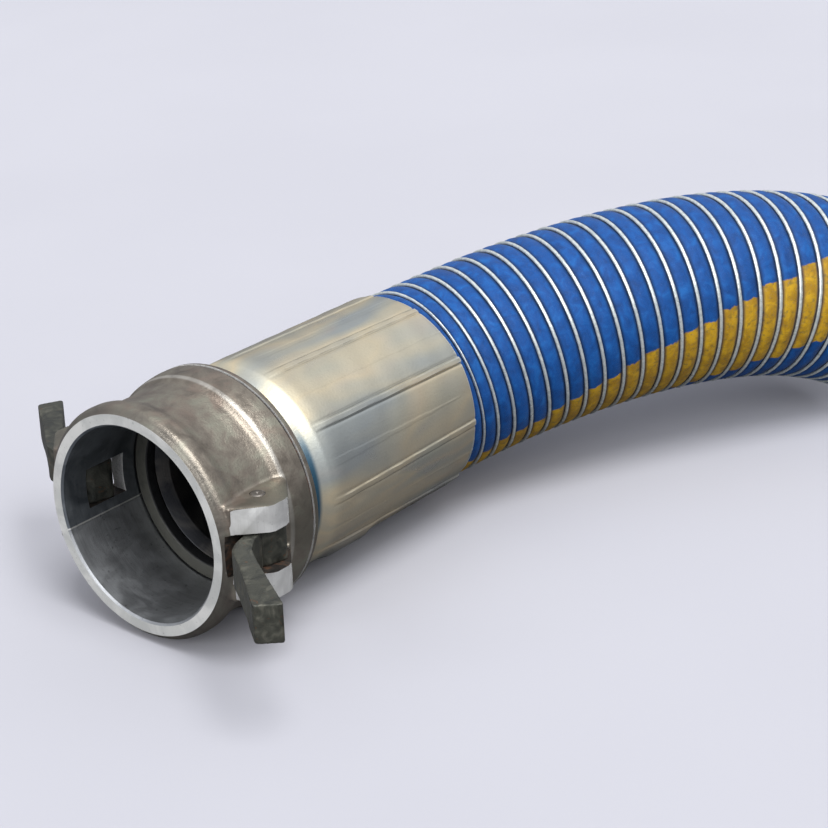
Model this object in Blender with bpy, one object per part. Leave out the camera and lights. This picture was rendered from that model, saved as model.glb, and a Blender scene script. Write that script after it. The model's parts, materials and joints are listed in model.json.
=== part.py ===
"""Camlock coupling for a 4 inch composite hose, with a length of the hose.

The coupling axis is the X axis: the open cup faces -X and the hose leaves
towards +X. The two cam arms sit on the +Y and -Y sides and turn on pins that
are parallel to Z. Run with: blender --background --python part.py
"""
import math

import bmesh
import bpy
from mathutils import Matrix, Vector
from mathutils.geometry import interpolate_bezier

MM = 0.001

# Where the centre of the cup's mouth lies in the part's own frame, whose
# origin is the middle of the whole part's bounding box.
MOUTH_CENTRE = Vector((-280.169 * MM, 26.966 * MM, -8.803 * MM))
FIT_GAP = 0.3 * MM

# Cup and neck of the coupler body (4 inch size: 120.6 mm bore)
BORE_RADIUS = 60.3 * MM
CUP_DEPTH = 58.0 * MM
BODY_LENGTH = 75.0 * MM
RIM_FACE_RADIUS = 67.3 * MM
RIM_RADIUS = 72.0 * MM
NECK_RADIUS = 68.6 * MM
FLANGE_RADIUS = 74.0 * MM
GROOVE_RADIUS = 62.3 * MM
GROOVE_FLOOR = 66.4 * MM
SPIGOT_RADIUS = 53.5 * MM
BODY_SEGMENTS = 60

# Cup gasket
GASKET_INNER_RADIUS = 50.8 * MM
GASKET_THICKNESS = 7.0 * MM
GASKET_SEGMENTS = 40

# Ears that carry the arms
EAR_INNER = 12.9 * MM
EAR_OUTER = 29.0 * MM
EAR_ROOT = 61.5 * MM
EAR_HEIGHT = 87.0 * MM
WINDOW_START = 19.0 * MM
WINDOW_END = 49.0 * MM
WINDOW_HALF_WIDTH = 12.6 * MM
WINDOW_NEAR = 50.0 * MM
WINDOW_FAR = 95.0 * MM
CLEARANCE_FLAT = 69.0 * MM
PIVOT_X = 29.0 * MM
PIVOT_Y = 70.0 * MM
PIN_RADIUS = 4.4 * MM
PIN_LENGTH = 59.0 * MM
PIN_SEGMENTS = 24

# Cam arms, drawn closed: the handle runs along +X and +Y points outwards
HUB_RADIUS = 9.2 * MM
HUB_WIDTH = 24.4 * MM
NOSE_RADIUS = 5.0 * MM
NOSE_OFFSET = 10.0 * MM
HANDLE_LENGTH = 99.0 * MM
HANDLE_WIDTH = 23.2 * MM
HANDLE_INNER_FACE = 10.0 * MM
HANDLE_OUTER_FACE = 21.5 * MM
LEFT_ARM_OPEN = math.radians(52.0)
RIGHT_ARM_OPEN = math.radians(127.0)

# Hose tail
TAIL_BORE_RADIUS = 45.8 * MM
TAIL_RADIUS = 47.6 * MM
TAIL_END = 226.0 * MM
INLET_LENGTH = 7.0 * MM
COLLAR_END = 80.0 * MM
LOCK_GROOVE_END = 88.0 * MM
LOCK_GROOVE_RADIUS = 47.2 * MM
TAIL_SEGMENTS = 30
SERRATIONS = 6
SERRATION_DEPTH = 0.9 * MM
SERRATION_SLOPE = 6.0 * MM

# Ferrule
FERRULE_START = 80.6 * MM
FERRULE_END = 232.0 * MM
FERRULE_RADIUS = 66.9 * MM
FERRULE_WALL = 2.2 * MM
FERRULE_SHOULDER = 100.0 * MM
FERRULE_LIP_RADIUS = 58.6 * MM
CRIMP_DIES = 10
CRIMP_PHASE = math.radians(21.0)
CRIMP_RIDGE_HEIGHT = 0.9 * MM
CRIMP_RIDGE_ANGLE = math.radians(2.4)

# Hose, from the inside out
HOSE_START = 104.0 * MM
HOSE_FREE_LENGTH = 381.0 * MM
HOSE_SIDES = 18
HOSE_STATION_LENGTH = 21.0 * MM
STRAIGHT_END = FERRULE_END
SLEEVE_LAYER = (48.5 * MM, 49.4 * MM)
LINING_LAYER = (55.0 * MM, 55.9 * MM)
FILM_LAYER = (56.2 * MM, 57.1 * MM)
CARCASS_LAYER = (57.4 * MM, 58.4 * MM)
COVER_LAYER = (58.7 * MM, 60.5 * MM)
WIRE_PITCH = 15.0 * MM
INNER_WIRE_RADIUS = 52.0 * MM
INNER_WIRE_THICKNESS = 2.6 * MM
INNER_WIRE_STEPS = 12
OUTER_WIRE_RADIUS = 63.2 * MM
OUTER_WIRE_THICKNESS = 2.6 * MM
OUTER_WIRE_STEPS = 16
OUTER_WIRE_START = 205.0 * MM

# Centreline of the free hose: end points and handles of one Bezier span
HOSE_BEND = (
    Vector((232.0, 0.0, 0.0)) * MM,
    Vector((293.0, 0.0, 0.0)) * MM,
    Vector((447.7, -97.7, 65.6)) * MM,
    Vector((569.0, -156.6, -6.8)) * MM,
)

SHARP_ANGLE = math.radians(32.0)


# ---------------------------------------------------------------- helpers

def clear_scene():
    """Remove everything that a new Blender file starts with."""
    for item in list(bpy.data.objects):
        bpy.data.objects.remove(item, do_unlink=True)


def make_material(name, colour, roughness, metallic=0.0):
    """A plain Principled material."""
    material = bpy.data.materials.new(name)
    material.use_nodes = True
    shader = material.node_tree.nodes["Principled BSDF"]
    shader.inputs["Base Color"].default_value = (*colour, 1.0)
    shader.inputs["Roughness"].default_value = roughness
    shader.inputs["Metallic"].default_value = metallic
    material.diffuse_color = (*colour, 1.0)
    return material


def make_empty(name, parent=None, location=(0.0, 0.0, 0.0), angle=0.0):
    """An empty that carries other objects, turned by an angle about Z."""
    empty = bpy.data.objects.new(name, None)
    empty.location = location
    empty.rotation_euler = (0.0, 0.0, angle)
    empty.parent = parent
    bpy.context.scene.collection.objects.link(empty)
    return empty


def make_object(name, bm, parent, material=None):
    """Turn a bmesh into an object that hangs on a parent."""
    bmesh.ops.recalc_face_normals(bm, faces=bm.faces)
    mesh = bpy.data.meshes.new(name)
    bm.to_mesh(mesh)
    bm.free()
    if material:
        mesh.materials.append(material)
    mesh.shade_smooth()
    mesh.set_sharp_from_angle(angle=SHARP_ANGLE)
    item = bpy.data.objects.new(name, mesh)
    item.parent = parent
    bpy.context.scene.collection.objects.link(item)
    return item


def add_boolean(target, tool, operation):
    """Unite a hidden tool object with a target, or cut it away."""
    tool.hide_render = True
    tool.display_type = "WIRE"
    modifier = target.modifiers.new(tool.name, "BOOLEAN")
    modifier.operation = operation
    modifier.object = tool
    modifier.solver = "EXACT"


def turned(profile, segments):
    """Spin a closed outline of (x, radius) points about the X axis."""
    bm = bmesh.new()
    verts = [bm.verts.new((x, 0.0, radius)) for x, radius in profile]
    edges = [bm.edges.new((a, b)) for a, b in zip(verts, verts[1:] + verts[:1])]
    bmesh.ops.spin(
        bm, geom=verts + edges, cent=(0.0, 0.0, 0.0), axis=(1.0, 0.0, 0.0),
        angle=2.0 * math.pi, steps=segments, use_merge=True,
    )
    bmesh.ops.remove_doubles(bm, verts=bm.verts, dist=0.001 * MM)
    return bm


def plate(outline, low, high):
    """Extrude a closed outline of (x, y) points from z = low to z = high."""
    bm = bmesh.new()
    face = bm.faces.new([bm.verts.new((x, y, low)) for x, y in outline])
    grown = bmesh.ops.extrude_face_region(bm, geom=[face])
    raised = [v for v in grown["geom"] if isinstance(v, bmesh.types.BMVert)]
    bmesh.ops.translate(bm, verts=raised, vec=(0.0, 0.0, high - low))
    return bm


def block(low, high):
    """A box between two corners."""
    bm = bmesh.new()
    size = Vector(high) - Vector(low)
    middle = (Vector(high) + Vector(low)) / 2.0
    place = Matrix.Translation(middle) @ Matrix.Diagonal((*size, 1.0))
    bmesh.ops.create_cube(bm, size=1.0, matrix=place)
    return bm


def rod(radius, length, segments, centre=(0.0, 0.0, 0.0)):
    """A solid cylinder parallel to Z."""
    bm = bmesh.new()
    bmesh.ops.create_cone(
        bm, cap_ends=True, segments=segments, radius1=radius, radius2=radius,
        depth=length, matrix=Matrix.Translation(centre),
    )
    return bm


def arc(centre, radius, start, end, steps):
    """Points along an arc, angles in degrees."""
    points = []
    for i in range(steps + 1):
        angle = math.radians(start + (end - start) * i / steps)
        x = centre[0] + radius * math.cos(angle)
        y = centre[1] + radius * math.sin(angle)
        points.append((x, y))
    return points


# ---------------------------------------------------------------- hose path

class HosePath:
    """Arc-length frames along the hose: straight first, then the bend."""

    def __init__(self, steps=400):
        points = interpolate_bezier(*HOSE_BEND, steps)
        self.points = points
        self.distance = [0.0]
        for a, b in zip(points, points[1:]):
            self.distance.append(self.distance[-1] + (b - a).length)
        self.frames = []
        side = Vector((0.0, 1.0, 0.0))
        for i in range(steps):
            ahead = points[min(i + 1, steps - 1)]
            behind = points[max(i - 1, 0)]
            tangent = (ahead - behind).normalized()
            side = (side - tangent * side.dot(tangent)).normalized()
            self.frames.append((tangent, side, tangent.cross(side)))

    def place(self, station, y, z):
        """The point at a station along the hose, offset sideways by y and z."""
        if station <= STRAIGHT_END:
            return Vector((station, y, z))
        wanted = station - STRAIGHT_END
        index = 1
        while index < len(self.distance) - 1 and self.distance[index] < wanted:
            index += 1
        before = self.distance[index - 1]
        share = (wanted - before) / (self.distance[index] - before)
        centre = self.points[index - 1].lerp(self.points[index], share)
        side = self.frames[index - 1][1].lerp(self.frames[index][1], share)
        rise = self.frames[index - 1][2].lerp(self.frames[index][2], share)
        return centre + side.normalized() * y + rise.normalized() * z


def hose_tube(path, layer, start, end):
    """One closed layer of the hose wall, laid along the hose."""
    stations = [start]
    while stations[-1] < STRAIGHT_END < end:
        stations.append(STRAIGHT_END)
    bend_steps = max(1, round((end - stations[-1]) / HOSE_STATION_LENGTH))
    first = stations[-1]
    for i in range(1, bend_steps + 1):
        stations.append(first + (end - first) * i / bend_steps)
    inner, outer = layer
    outline = [(x, outer) for x in stations] + [(x, inner) for x in reversed(stations)]
    bm = turned(outline, HOSE_SIDES)
    for vert in bm.verts:
        vert.co = path.place(*vert.co)
    return bm


def hose_helix(path, radius, thickness, steps_per_turn, start, end):
    """A round wire wound along the hose, drawn with a three-sided section."""
    bm = bmesh.new()
    count = round((end - start) / WIRE_PITCH * steps_per_turn)
    half = thickness / 2.0
    rings = []
    for i in range(count + 1):
        turn = 2.0 * math.pi * i / steps_per_turn
        station = start + WIRE_PITCH * i / steps_per_turn
        ring = []
        for corner in range(3):
            around = 2.0 * math.pi * corner / 3.0
            reach = radius + half * math.cos(around)
            along = station + half * math.sin(around)
            place = path.place(along, reach * math.cos(turn), reach * math.sin(turn))
            ring.append(bm.verts.new(place))
        rings.append(ring)
    for ring, following in zip(rings, rings[1:]):
        for k in range(3):
            m = (k + 1) % 3
            bm.faces.new((ring[k], ring[m], following[m], following[k]))
    bm.faces.new(rings[0])
    bm.faces.new(rings[-1])
    return bm


# ---------------------------------------------------------------- the pieces

def coupler_profile():
    """Outline of the cast body: cup, gasket groove, neck and rear flange."""
    chamfer = 1.2 * MM
    outer = [
        (0.0, BORE_RADIUS + chamfer),
        (0.0, RIM_FACE_RADIUS),
        (1.6 * MM, RIM_FACE_RADIUS + 2.6 * MM),
        (5.0 * MM, RIM_RADIUS),
        (12.0 * MM, RIM_RADIUS),
        (18.0 * MM, NECK_RADIUS + 1.0 * MM),
        (26.0 * MM, NECK_RADIUS),
        (38.0 * MM, NECK_RADIUS),
        (50.0 * MM, NECK_RADIUS + 2.4 * MM),
        (56.0 * MM, FLANGE_RADIUS - 1.2 * MM),
        (64.0 * MM, FLANGE_RADIUS),
        (BODY_LENGTH - 2.0 * MM, FLANGE_RADIUS),
        (BODY_LENGTH, FLANGE_RADIUS - 2.0 * MM),
    ]
    inner = [
        (BODY_LENGTH, SPIGOT_RADIUS),
        (GROOVE_FLOOR, SPIGOT_RADIUS),
        (GROOVE_FLOOR, GROOVE_RADIUS),
        (CUP_DEPTH, GROOVE_RADIUS),
        (CUP_DEPTH, BORE_RADIUS),
        (chamfer, BORE_RADIUS),
    ]
    return outer + inner


def add_ears(body, side, parent):
    """Two ears on one side, the cam window between them and the pin holes."""
    label = "left" if side > 0 else "right"
    ear_outline = [
        (5.0 * MM, EAR_ROOT),
        (5.0 * MM, 70.2 * MM),
        (21.0 * MM, EAR_HEIGHT - 1.4 * MM),
        (24.0 * MM, EAR_HEIGHT),
        (33.0 * MM, EAR_HEIGHT),
        (36.0 * MM, EAR_HEIGHT - 1.2 * MM),
        (54.0 * MM, 69.0 * MM),
        (54.0 * MM, EAR_ROOT),
    ]
    outline = [(x, side * y) for x, y in ear_outline]
    for level, low in (("upper", EAR_INNER), ("lower", -EAR_OUTER)):
        bm = plate(outline, low, low + EAR_OUTER - EAR_INNER)
        ear = make_object(f"tool_{label}_{level}_ear", bm, parent)
        add_boolean(body, ear, "UNION")

    near, far = sorted((side * WINDOW_NEAR, side * WINDOW_FAR))
    window = block(
        (WINDOW_START, near, -WINDOW_HALF_WIDTH), (WINDOW_END, far, WINDOW_HALF_WIDTH)
    )
    add_boolean(body, make_object(f"tool_{label}_window", window, parent), "DIFFERENCE")

    near, far = sorted((side * CLEARANCE_FLAT, side * WINDOW_FAR))
    flat = block(
        (-5.0 * MM, near, -WINDOW_HALF_WIDTH), (WINDOW_START + MM, far, WINDOW_HALF_WIDTH)
    )
    add_boolean(body, make_object(f"tool_{label}_flat", flat, parent), "DIFFERENCE")

    hole = rod(
        PIN_RADIUS + FIT_GAP, 2.5 * EAR_OUTER, PIN_SEGMENTS, (PIVOT_X, side * PIVOT_Y, 0.0)
    )
    add_boolean(body, make_object(f"tool_{label}_hole", hole, parent), "DIFFERENCE")


def make_coupler_body(parent):
    """The cast body with its cup, flange and two pairs of ears."""
    cast = make_material("cast_steel", (0.30, 0.27, 0.24), 0.42, 0.9)
    body = make_object(
        "coupler_body", turned(coupler_profile(), BODY_SEGMENTS), parent, cast
    )
    for side in (1, -1):
        add_ears(body, side, parent)


def make_cup_gasket(parent):
    """The black ring at the bottom of the cup that seals against the adapter."""
    rubber = make_material("gasket_rubber", (0.02, 0.02, 0.02), 0.6)
    back = GROOVE_FLOOR - FIT_GAP
    front = back - GASKET_THICKNESS
    outer = GROOVE_RADIUS - FIT_GAP
    edge = 0.8 * MM
    shoulder = 2.4 * MM
    profile = [
        (front, GASKET_INNER_RADIUS + edge),
        (front, outer - shoulder),
        (front + shoulder, outer),
        (back, outer),
        (back, GASKET_INNER_RADIUS),
        (front + edge, GASKET_INNER_RADIUS),
    ]
    make_object("cup_gasket", turned(profile, GASKET_SEGMENTS), parent, rubber)


def cam_outline():
    """Outline of the cam: round hub and the nose that presses the adapter."""
    lean = math.degrees(math.asin((HUB_RADIUS - NOSE_RADIUS) / NOSE_OFFSET))
    nose = arc((0.0, -NOSE_OFFSET), NOSE_RADIUS, -180.0 + lean, -lean, 8)
    hub = arc((0.0, 0.0), HUB_RADIUS, -lean, 180.0 + lean, 18)
    return nose + hub


def handle_outline():
    """Outline of the handle from inside the hub to its slanted tip."""
    tip_slant = 3.0 * MM
    return [
        (3.0 * MM, -1.0 * MM),
        (13.0 * MM, 1.6 * MM),
        (21.0 * MM, 6.6 * MM),
        (32.0 * MM, HANDLE_INNER_FACE),
        (48.0 * MM, HANDLE_INNER_FACE - 0.4 * MM),
        (HANDLE_LENGTH, HANDLE_INNER_FACE - 4.8 * MM),
        (HANDLE_LENGTH - tip_slant, HANDLE_OUTER_FACE),
        (30.0 * MM, HANDLE_OUTER_FACE - 0.4 * MM),
        (22.0 * MM, 17.6 * MM),
        (8.0 * MM, 6.4 * MM),
        (3.0 * MM, 3.0 * MM),
    ]


def make_cam_arm(name, parent, side, open_angle):
    """One cam arm on its pivot, turned open by an angle from closed."""
    label = "left" if side > 0 else "right"
    pivot = make_empty(
        f"{label}_pivot", parent, (PIVOT_X, side * PIVOT_Y, 0.0), side * open_angle
    )
    dark = make_material(f"{label}_arm_steel", (0.12, 0.12, 0.11), 0.38, 0.9)
    cam = [(x, side * y) for x, y in cam_outline()]
    arm = make_object(name, plate(cam, -HUB_WIDTH / 2.0, HUB_WIDTH / 2.0), pivot, dark)
    handle = [(x, side * y) for x, y in handle_outline()]
    grip = make_object(
        f"tool_{label}_handle", plate(handle, -HANDLE_WIDTH / 2.0, HANDLE_WIDTH / 2.0), pivot
    )
    bevel = grip.modifiers.new("rounded_edges", "BEVEL")
    bevel.width = 1.8 * MM
    bevel.segments = 2
    bevel.limit_method = "ANGLE"
    bevel.angle_limit = math.radians(50.0)
    add_boolean(arm, grip, "UNION")
    hole = rod(PIN_RADIUS + FIT_GAP, 2.0 * HUB_WIDTH, PIN_SEGMENTS)
    add_boolean(arm, make_object(f"tool_{label}_arm_bore", hole, pivot), "DIFFERENCE")


def make_pivot_pin(name, parent, side):
    """The straight pin that an arm turns on, pressed into both ears."""
    steel = make_material(name, (0.45, 0.44, 0.42), 0.3, 1.0)
    pin = make_object(name, rod(PIN_RADIUS, PIN_LENGTH, PIN_SEGMENTS), parent, steel)
    pin.location = (PIVOT_X, side * PIVOT_Y, 0.0)


def make_hose_tail(parent):
    """The serrated shank that the hose is pushed over."""
    steel = make_material("tail_steel", (0.25, 0.24, 0.23), 0.45, 0.9)
    front = GROOVE_FLOOR + FIT_GAP
    profile = [
        (front + INLET_LENGTH, TAIL_BORE_RADIUS),
        (front, GASKET_INNER_RADIUS),
        (front, SPIGOT_RADIUS - FIT_GAP),
        (COLLAR_END, SPIGOT_RADIUS - FIT_GAP),
        (COLLAR_END, LOCK_GROOVE_RADIUS - MM),
        (LOCK_GROOVE_END, LOCK_GROOVE_RADIUS - MM),
        (LOCK_GROOVE_END + MM, TAIL_RADIUS),
    ]
    first = LOCK_GROOVE_END + 8.0 * MM
    pitch = (TAIL_END - 6.0 * MM - first) / SERRATIONS
    for ring in range(SERRATIONS):
        start = first + ring * pitch
        profile.append((start, TAIL_RADIUS))
        profile.append((start, TAIL_RADIUS - SERRATION_DEPTH))
        profile.append((start + SERRATION_SLOPE, TAIL_RADIUS))
    profile.append((TAIL_END - 2.0 * MM, TAIL_RADIUS))
    profile.append((TAIL_END, TAIL_RADIUS - 1.2 * MM))
    profile.append((TAIL_END, TAIL_BORE_RADIUS))
    make_object("hose_tail", turned(profile, TAIL_SEGMENTS), parent, steel)


def ferrule_profile():
    """Outline of the ferrule: locking lip, sloping shoulder, long sleeve."""
    lip_inner = LOCK_GROOVE_RADIUS + 0.6 * MM
    wall_inner = FERRULE_RADIUS - FERRULE_WALL
    return [
        (FERRULE_START, lip_inner),
        (FERRULE_START, FERRULE_LIP_RADIUS),
        (FERRULE_START + 1.6 * MM, FERRULE_LIP_RADIUS + 1.8 * MM),
        (FERRULE_SHOULDER - 6.0 * MM, FERRULE_RADIUS - 2.4 * MM),
        (FERRULE_SHOULDER, FERRULE_RADIUS - 0.8 * MM),
        (FERRULE_SHOULDER + 6.0 * MM, FERRULE_RADIUS),
        (FERRULE_END - 1.0 * MM, FERRULE_RADIUS),
        (FERRULE_END, FERRULE_RADIUS - 0.8 * MM),
        (FERRULE_END, wall_inner),
        (FERRULE_SHOULDER + 2.0 * MM, wall_inner),
        (FERRULE_START + 6.0 * MM, FERRULE_LIP_RADIUS - 1.2 * MM),
        (FERRULE_START + 6.0 * MM, lip_inner),
    ]


def make_ferrule(parent):
    """The crimped sleeve, with a raised line between each pair of dies."""
    plated = make_material("ferrule_plated", (0.42, 0.40, 0.30), 0.3, 1.0)
    steps_per_die = 6
    bm = turned(ferrule_profile(), CRIMP_DIES * steps_per_die)
    turn_per_step = 2.0 * math.pi / (CRIMP_DIES * steps_per_die)
    for vert in bm.verts:
        radius = math.hypot(vert.co.y, vert.co.z)
        angle = math.atan2(vert.co.z, vert.co.y)
        step = round((angle - math.pi / 2.0) / turn_per_step) % steps_per_die
        narrowing = {1: -1.0, steps_per_die - 1: 1.0}.get(step, 0.0)
        angle += narrowing * (turn_per_step - CRIMP_RIDGE_ANGLE) + CRIMP_PHASE
        on_sleeve = FERRULE_SHOULDER < vert.co.x < FERRULE_END - 0.5 * MM
        if step == 0 and on_sleeve and radius > FERRULE_RADIUS - 0.1 * MM:
            radius += CRIMP_RIDGE_HEIGHT
        vert.co.y = radius * math.cos(angle)
        vert.co.z = radius * math.sin(angle)
    make_object("ferrule", bm, parent, plated)


def make_hose(parent):
    """All layers of the composite hose, from the seal sleeve to the wire."""
    path = HosePath()
    hose_end = STRAIGHT_END + HOSE_FREE_LENGTH
    white = make_material("seal_sleeve_plastic", (0.75, 0.75, 0.72), 0.5)
    make_object(
        "seal_sleeve", hose_tube(path, SLEEVE_LAYER, 150.0 * MM, TAIL_END - 3.0 * MM),
        parent, white,
    )
    layers = (
        ("lining_fabric", LINING_LAYER, (0.80, 0.80, 0.76), 0.8),
        ("film_barrier", FILM_LAYER, (0.70, 0.72, 0.70), 0.3),
        ("carcass_fabric", CARCASS_LAYER, (0.60, 0.60, 0.55), 0.85),
        ("hose_cover", COVER_LAYER, (0.03, 0.20, 0.60), 0.45),
    )
    for name, layer, colour, roughness in layers:
        cloth = make_material(name, colour, roughness)
        make_object(name, hose_tube(path, layer, HOSE_START, hose_end), parent, cloth)

    wire = make_material("galvanised_wire", (0.60, 0.62, 0.62), 0.35, 1.0)
    margin = 3.0 * MM
    inner = hose_helix(
        path, INNER_WIRE_RADIUS, INNER_WIRE_THICKNESS, INNER_WIRE_STEPS,
        HOSE_START + margin, hose_end - margin,
    )
    make_object("inner_wire", inner, parent, wire)
    outer = hose_helix(
        path, OUTER_WIRE_RADIUS, OUTER_WIRE_THICKNESS, OUTER_WIRE_STEPS,
        OUTER_WIRE_START, hose_end - margin,
    )
    make_object("outer_wire", outer, parent, wire)


def main():
    clear_scene()
    frame = make_empty("coupling_frame", location=MOUTH_CENTRE)
    make_coupler_body(frame)
    make_cup_gasket(frame)
    make_cam_arm("cam_arm_left", frame, 1, LEFT_ARM_OPEN)
    make_cam_arm("cam_arm_right", frame, -1, RIGHT_ARM_OPEN)
    make_pivot_pin("pivot_pin_left", frame, 1)
    make_pivot_pin("pivot_pin_right", frame, -1)
    make_hose_tail(frame)
    make_ferrule(frame)
    make_hose(frame)


main()
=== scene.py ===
"""Camlock coupling crimped to a length of composite hose: the visual model.

Lengths along the coupling are measured from the mouth of the cup towards the
hose (+X), and radii from the coupling axis. The arms are on the +Y and -Y
sides and turn on pins parallel to Z.
"""
import json
import math

import bmesh
import bpy
import numpy as np
from mathutils import Matrix, Vector
from mathutils.geometry import interpolate_bezier


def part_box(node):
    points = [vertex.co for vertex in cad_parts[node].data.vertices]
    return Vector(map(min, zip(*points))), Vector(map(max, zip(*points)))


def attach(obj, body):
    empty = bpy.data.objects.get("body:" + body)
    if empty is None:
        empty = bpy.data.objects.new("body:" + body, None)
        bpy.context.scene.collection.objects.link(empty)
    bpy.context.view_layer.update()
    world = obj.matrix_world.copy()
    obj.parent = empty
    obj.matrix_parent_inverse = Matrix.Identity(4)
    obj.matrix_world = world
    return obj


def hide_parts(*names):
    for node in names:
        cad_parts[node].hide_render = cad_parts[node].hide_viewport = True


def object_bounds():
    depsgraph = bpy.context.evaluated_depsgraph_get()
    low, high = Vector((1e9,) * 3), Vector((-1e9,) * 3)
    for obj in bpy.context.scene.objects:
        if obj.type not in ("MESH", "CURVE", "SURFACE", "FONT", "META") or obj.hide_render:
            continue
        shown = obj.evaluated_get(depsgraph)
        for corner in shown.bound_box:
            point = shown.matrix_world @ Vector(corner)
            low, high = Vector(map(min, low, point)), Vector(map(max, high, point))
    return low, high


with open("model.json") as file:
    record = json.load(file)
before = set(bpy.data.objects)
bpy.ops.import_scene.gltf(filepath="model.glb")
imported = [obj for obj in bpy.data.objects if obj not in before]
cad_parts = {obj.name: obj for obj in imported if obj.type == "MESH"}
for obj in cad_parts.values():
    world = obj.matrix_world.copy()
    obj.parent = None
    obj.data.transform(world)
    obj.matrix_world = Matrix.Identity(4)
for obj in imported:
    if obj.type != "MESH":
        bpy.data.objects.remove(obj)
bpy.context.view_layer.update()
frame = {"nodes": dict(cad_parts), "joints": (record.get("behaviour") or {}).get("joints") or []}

MM = 0.001
SHARP_ANGLE = math.radians(34.0)

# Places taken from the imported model
BODY_LOW, BODY_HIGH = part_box("coupler_body")
BODY_MIDDLE = (BODY_LOW + BODY_HIGH) / 2.0
MOUTH = Vector((BODY_LOW.x, BODY_MIDDLE.y, BODY_MIDDLE.z))
BODY_LENGTH = BODY_HIGH.x - BODY_LOW.x
GASKET_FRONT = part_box("cup_gasket")[0].x - MOUTH.x
GASKET_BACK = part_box("cup_gasket")[1].x - MOUTH.x
TAIL_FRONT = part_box("hose_tail")[0].x - MOUTH.x
TAIL_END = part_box("hose_tail")[1].x - MOUTH.x
FERRULE_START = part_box("ferrule")[0].x - MOUTH.x
FERRULE_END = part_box("ferrule")[1].x - MOUTH.x

# Cup, neck and flange
BORE_RADIUS = 60.3 * MM
CUP_DEPTH = 58.0 * MM
GROOVE_RADIUS = 62.3 * MM
GROOVE_FLOOR = 66.4 * MM
SPIGOT_RADIUS = 53.5 * MM
RIM_RADIUS = 72.0 * MM
FLANGE_RADIUS = 74.0 * MM
SHOULDER_AT = 53.6 * MM
BODY_VOXEL = 0.85 * MM

# Painted highlight line in the bore, with the steel on one side of it painted lighter, as an angle
# about the coupling axis from +Y
BORE_HIGHLIGHT_ANGLE = math.radians(-18.0)

# Ears and the slot between them
EAR_INNER = 12.9 * MM
EAR_OUTER = 29.0 * MM
EAR_ROOT = 58.0 * MM
EAR_HEIGHT = 87.0 * MM
SLOT_HALF_WIDTH = 12.6 * MM
SLOT_START = 19.0 * MM
SLOT_END = 49.0 * MM
CLEARANCE_FLAT = 69.0 * MM
PIN_RADIUS = 4.4 * MM

# Cam arms, drawn closed: the handle runs along +X and +Y points outwards
HUB_RADIUS = 9.2 * MM
HUB_HALF_WIDTH = 12.2 * MM
NOSE_RADIUS = 5.0 * MM
NOSE_OFFSET = 10.0 * MM
HANDLE_LENGTH = 99.0 * MM
HANDLE_HALF_WIDTH = 11.6 * MM
HANDLE_INNER_FACE = 10.0 * MM
HANDLE_OUTER_FACE = 21.5 * MM
ARM_VOXEL = 0.6 * MM

# Hose tail and gasket
GASKET_INNER_RADIUS = 50.8 * MM
TAIL_BORE_RADIUS = 45.8 * MM
TAIL_RADIUS = 47.6 * MM

# Ferrule
FERRULE_RADIUS = 66.9 * MM
FERRULE_WALL = 2.2 * MM
# Direction of the side where the ferrule's front slope is painted dark blue-teal, as painted shade
FERRULE_SHADE_SIDE = (-0.20, -0.90, -0.38)

# Lines between the crimping dies: heights in mm, twists and shifts in degrees
CRIMP_DIES = 10
CRIMP_FIRST = math.radians(111.0)
CRIMP_HEIGHTS = (0.6, 0.95, 0.55, 0.7, 0.5, 0.85, 0.4, 0.7, 0.6, 0.5)
CRIMP_TWISTS = (3.4, 2.0, -3.0, 2.0, -2.0, 3.0, 1.0, -3.0, 2.0, 4.0)
CRIMP_SHIFTS = (-4.0, -2.5, 0.0, 0.0, 0.0, 0.0, 0.0, 0.0, 0.0, 0.0)

# Swell of the uncrimped lower side, and a small dent
SWELL_ANGLE = math.radians(236.0)
SWELL_REACH = math.radians(17.0)
SWELL_HEIGHT = 2.2 * MM
DENT_ANGLE = math.radians(188.0)
DENT_AT = 121.0 * MM
DENT_DEPTH = 0.9 * MM

# Layers and wires of the hose
STRAIGHT_END = FERRULE_END
HOSE_START = 104.0 * MM
HOSE_END = STRAIGHT_END + 381.0 * MM
HOSE_BEND = (
    Vector((232.0, 0.0, 0.0)) * MM,
    Vector((293.0, 0.0, 0.0)) * MM,
    Vector((447.7, -97.7, 65.6)) * MM,
    Vector((569.0, -156.6, -6.8)) * MM,
)
WIRE_PITCH = 15.0 * MM
WIRE_THICKNESS = 2.3 * MM
OUTER_WIRE_RADIUS = 63.2 * MM
OUTER_WIRE_START = 205.0 * MM
INNER_WIRE_RADIUS = 52.0 * MM
INNER_WIRE_START = 107.0 * MM
WIRE_MARGIN = 3.0 * MM
COVER_VALLEY = 61.6 * MM
COVER_BULGE = 2.4 * MM
COVER_INSIDE = 58.7 * MM
CARCASS_OUTSIDE = 58.4 * MM
CARCASS_INSIDE = 57.4 * MM
FILM_OUTSIDE = 57.1 * MM
FILM_INSIDE = 56.2 * MM
LINING_OUTSIDE = 55.9 * MM
LINING_INSIDE = 55.0 * MM
LINING_SAG = 1.1 * MM
THREADS_AROUND = 380
THREAD_PITCH = 1.05 * MM

# Yellow band: where its upper edge lies, in turns, and how that drifts per metre
STRIPE_UPPER = 217.5 / 360.0
STRIPE_SLOPE = -0.110 / 0.36
STRIPE_CURVE = -0.45 / 0.36
STRIPE_WIDTH = 55.0 / 360.0

# Camera: where it stands from the mouth's centre, and how it looks
CAMERA_FROM_MOUTH = Vector((-0.76499, -0.84131, 0.55343))
CAMERA_FORWARD = Vector((0.7067, 0.5845, -0.3986))
CAMERA_UP = Vector((0.3279, 0.2285, 0.9166))
CAMERA_LENS = 95.65

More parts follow.
